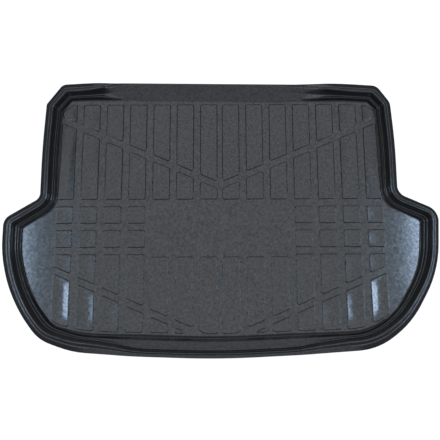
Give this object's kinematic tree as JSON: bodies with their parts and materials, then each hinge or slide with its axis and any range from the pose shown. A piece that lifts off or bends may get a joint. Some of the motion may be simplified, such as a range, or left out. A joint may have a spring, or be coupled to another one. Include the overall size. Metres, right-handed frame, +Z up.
{
  "type": "car boot liner",
  "caption": "Shallow one-piece plastic tray with a stepped rim and raised floor pads, shaped to fit round the wheel arches and keep a car's boot floor clean.",
  "frame": {"origin": "under the middle of the liner's bounding box, on the plane that the floor of the tray lies on", "axes": "+X to the right along the liner's length across the car, +Y towards the seat backs (the straight edge between the wheel arches), +Z up out of the tray"},
  "size_m": [1.2816, 0.8246, 0.04],
  "materials": {
    "liner_plastic": "satin moulded black plastic with a fine grain"
  },
  "bodies": {
    "root": {"boot_liner": "liner_plastic"}
  },
  "joints": []
}
